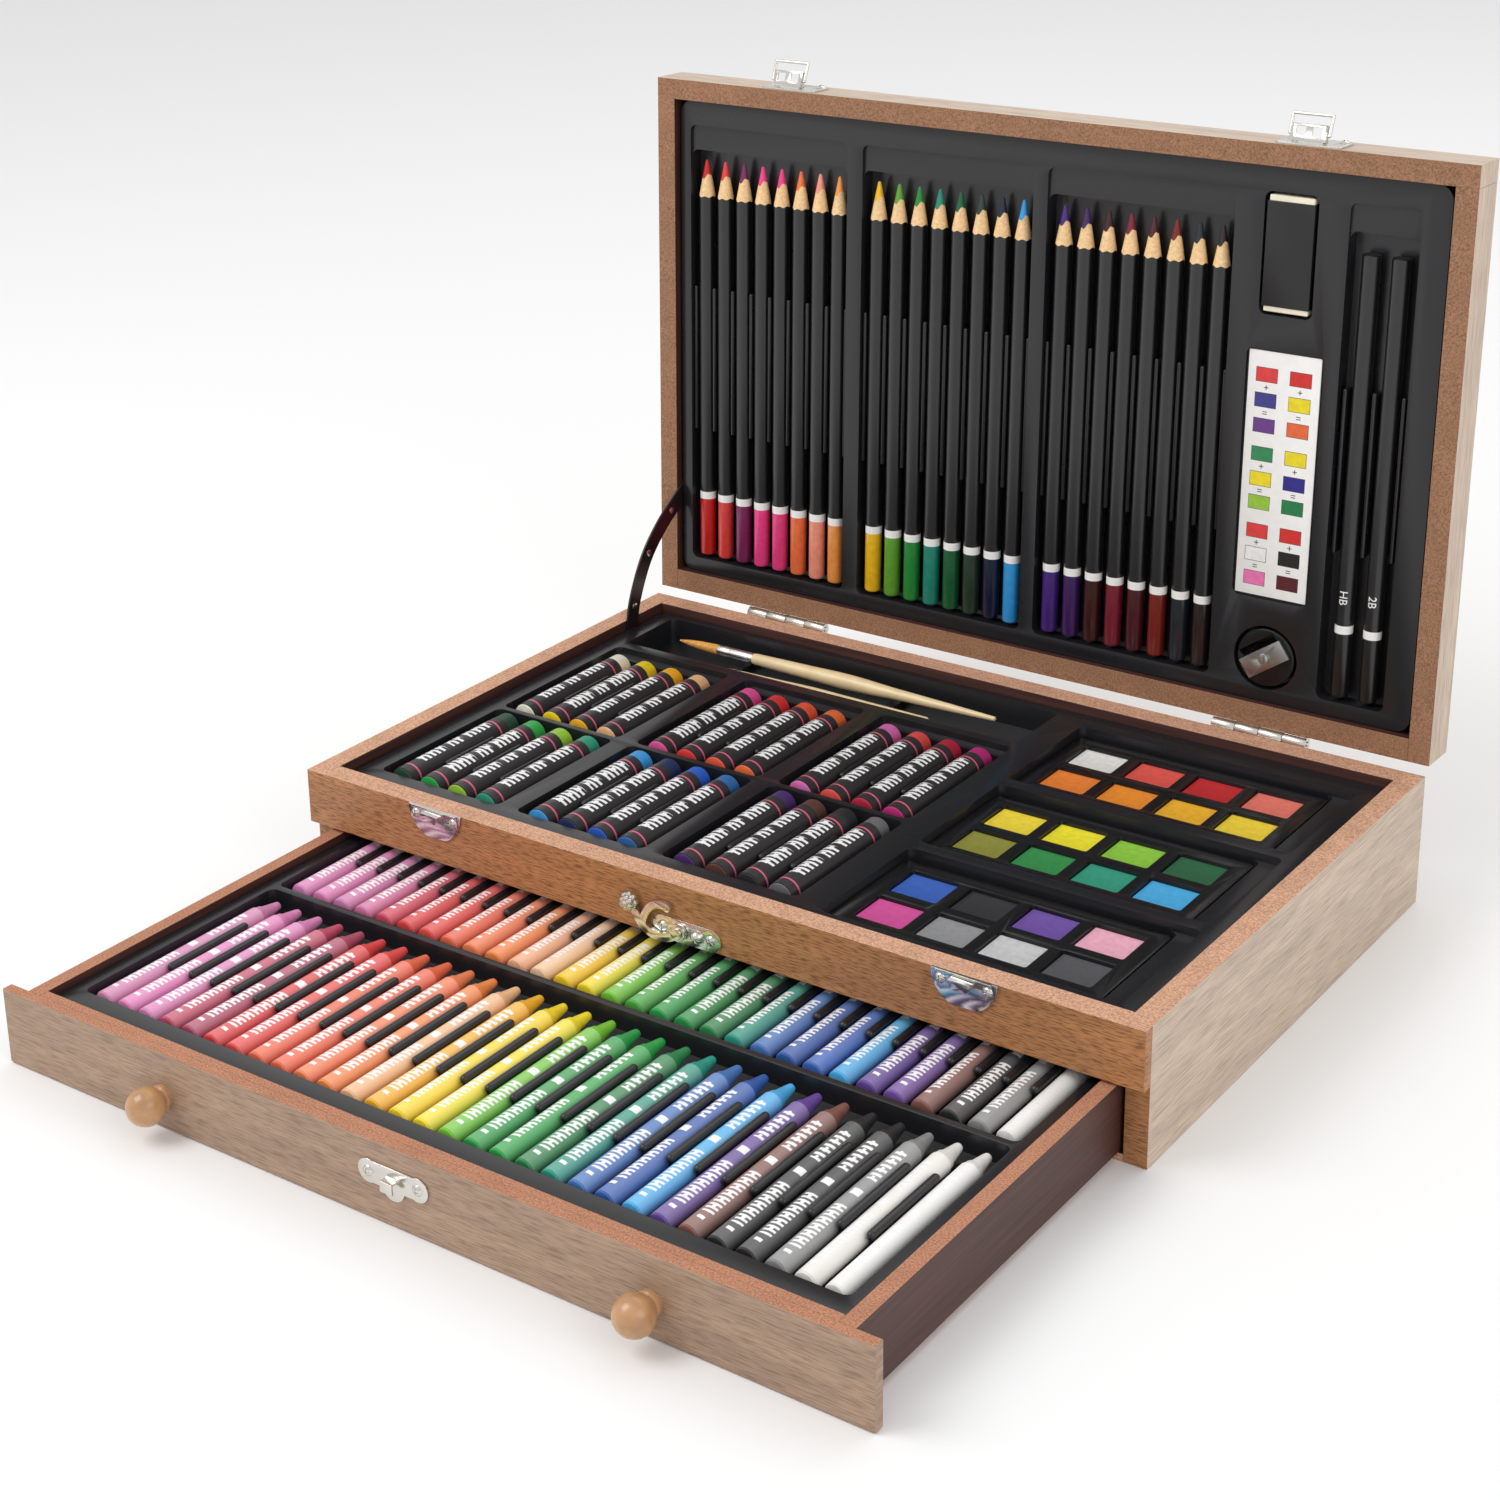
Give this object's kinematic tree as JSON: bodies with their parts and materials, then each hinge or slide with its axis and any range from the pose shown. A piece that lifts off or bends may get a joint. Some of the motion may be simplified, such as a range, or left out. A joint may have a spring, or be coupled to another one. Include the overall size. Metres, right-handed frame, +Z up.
{
  "type": "art supply case with drawer",
  "caption": "Hinged wooden art case: pencils in the lid, pastels, paints and brushes in the upper tray, crayons in a sliding drawer below.",
  "frame": {"origin": "centre of the carcass's flat underside", "axes": "+X to the right as seen from the front, +Y to the back, +Z up; the drawer opens towards -Y"},
  "size_m": [0.37, 0.438, 0.3038],
  "materials": {
    "printed_board_front": "printed beech-grain wrap, satin",
    "printed_board_drawer": "printed beech-grain wrap, satin",
    "printed_board_side": "printed beech-grain wrap, satin",
    "dark_wrap_board": "dark printed wrap, satin",
    "fibreboard": "raw fibreboard",
    "black_formed_sheet": "satin vacuum-formed sheet",
    "pencil_lacquer": "natural cedar with lacquered ends",
    "pencil_black": "black lacquer",
    "pastel_wrapped": "paper-wrapped pigment sticks",
    "crayon_wax": "paper-wrapped wax sticks",
    "paint_cake": "dry pressed paint",
    "brush_handle": "lacquered wood with metal ferrule",
    "eraser_rubber": "soft white rubber",
    "black_card": "printed card sleeve",
    "printed_card": "white card with coloured swatches",
    "black_plastic": "moulded plastic",
    "steel": "ground steel",
    "nickel": "bright nickel plate",
    "strap_black": "coated black tape with eyelets",
    "turned_wood": "varnished turned wood"
  },
  "bodies": {
    "case": {"side_board_left": "printed_board_side", "side_board_right": "printed_board_side", "back_board": "printed_board_side", "upper_front_panel": "printed_board_front", "upper_front_rail": "dark_wrap_board", "shelf_panel": "fibreboard", "bottom_panel": "fibreboard", "upper_tray": "black_formed_sheet", "brush_large": "brush_handle", "brush_small": "brush_handle", "oil_pastels_back_row": "pastel_wrapped", "oil_pastels_front_row": "pastel_wrapped", "paint_palettes": "black_formed_sheet", "paint_cakes": "paint_cake", "catch_plates": "nickel", "hook_plate": "nickel", "hook_rivet": "nickel", "case_front_screws": "nickel", "hinge_leaves_case": "nickel", "hinge_pins": "nickel", "hinge_screws_case": "nickel", "stay_strap": "strap_black"},
    "hook": {"hook": "nickel"},
    "lid": {"lid_front_board": "printed_board_front", "lid_back_board": "printed_board_side", "lid_side_left": "printed_board_side", "lid_side_right": "printed_board_side", "lid_panel": "printed_board_side", "lid_tray": "black_formed_sheet", "pencils_left": "pencil_lacquer", "pencils_middle": "pencil_lacquer", "pencils_right": "pencil_lacquer", "graphite_pencils": "pencil_black", "eraser_block": "eraser_rubber", "eraser_sleeve": "black_card", "colour_chart_card": "printed_card", "sharpener_body": "black_plastic", "sharpener_blade": "steel", "sharpener_screw": "steel", "hinge_leaves_lid": "nickel", "hinge_screws_lid": "nickel", "latch_plates": "nickel", "latch_screws": "nickel"},
    "drawer": {"drawer_front": "printed_board_drawer", "drawer_inner_front": "dark_wrap_board", "drawer_side_left": "dark_wrap_board", "drawer_side_right": "dark_wrap_board", "drawer_back": "dark_wrap_board", "drawer_bottom": "fibreboard", "drawer_tray": "black_formed_sheet", "crayons_front_row": "crayon_wax", "crayons_back_row": "crayon_wax", "drawer_knobs": "turned_wood", "drawer_keeper": "nickel", "drawer_keeper_screws": "nickel"},
    "latch_lever_left": {"latch_lever_left": "nickel"},
    "latch_bail_left": {"latch_bail_left": "nickel"},
    "latch_lever_right": {"latch_lever_right": "nickel"},
    "latch_bail_right": {"latch_bail_right": "nickel"}
  },
  "joints": [
    {"name": "drawer_slide", "type": "slide", "parent": "case", "child": "drawer", "axis": [0, 1, 0], "range_m": [0, 0.1605]},
    {"name": "lid_hinge", "type": "hinge", "parent": "case", "child": "lid", "pos_m": [0, 0.1201, 0.0543], "axis": [1, 0, 0], "range_deg": [0, 91.6], "deforming": ["stay_strap"]},
    {"name": "hook_swing", "type": "hinge", "parent": "case", "child": "hook", "pos_m": [-0.001, -0.1193, 0.036], "axis": [0, -1, 0], "range_deg": [0, 14]},
    {"name": "latch_lever_left_hinge", "type": "hinge", "parent": "lid", "child": "latch_lever_left", "pos_m": [-0.1175, 0.12969, 0.29393], "axis": [-1, 0, 0], "range_deg": [0, 72]},
    {"name": "latch_bail_left_hinge", "type": "hinge", "parent": "latch_lever_left", "child": "latch_bail_left", "pos_m": [-0.1175, 0.12945, 0.29592], "axis": [1, 0, 0], "range_deg": [0, 189]},
    {"name": "latch_lever_right_hinge", "type": "hinge", "parent": "lid", "child": "latch_lever_right", "pos_m": [0.1175, 0.12969, 0.29393], "axis": [-1, 0, 0], "range_deg": [0, 72]},
    {"name": "latch_bail_right_hinge", "type": "hinge", "parent": "latch_lever_right", "child": "latch_bail_right", "pos_m": [0.1175, 0.12945, 0.29592], "axis": [1, 0, 0], "range_deg": [0, 189]}
  ],
  "couplings": [
    {"joint": "latch_bail_left_hinge", "follows": "latch_lever_left_hinge", "ratio": 2.625},
    {"joint": "latch_bail_right_hinge", "follows": "latch_lever_right_hinge", "ratio": 2.625}
  ]
}
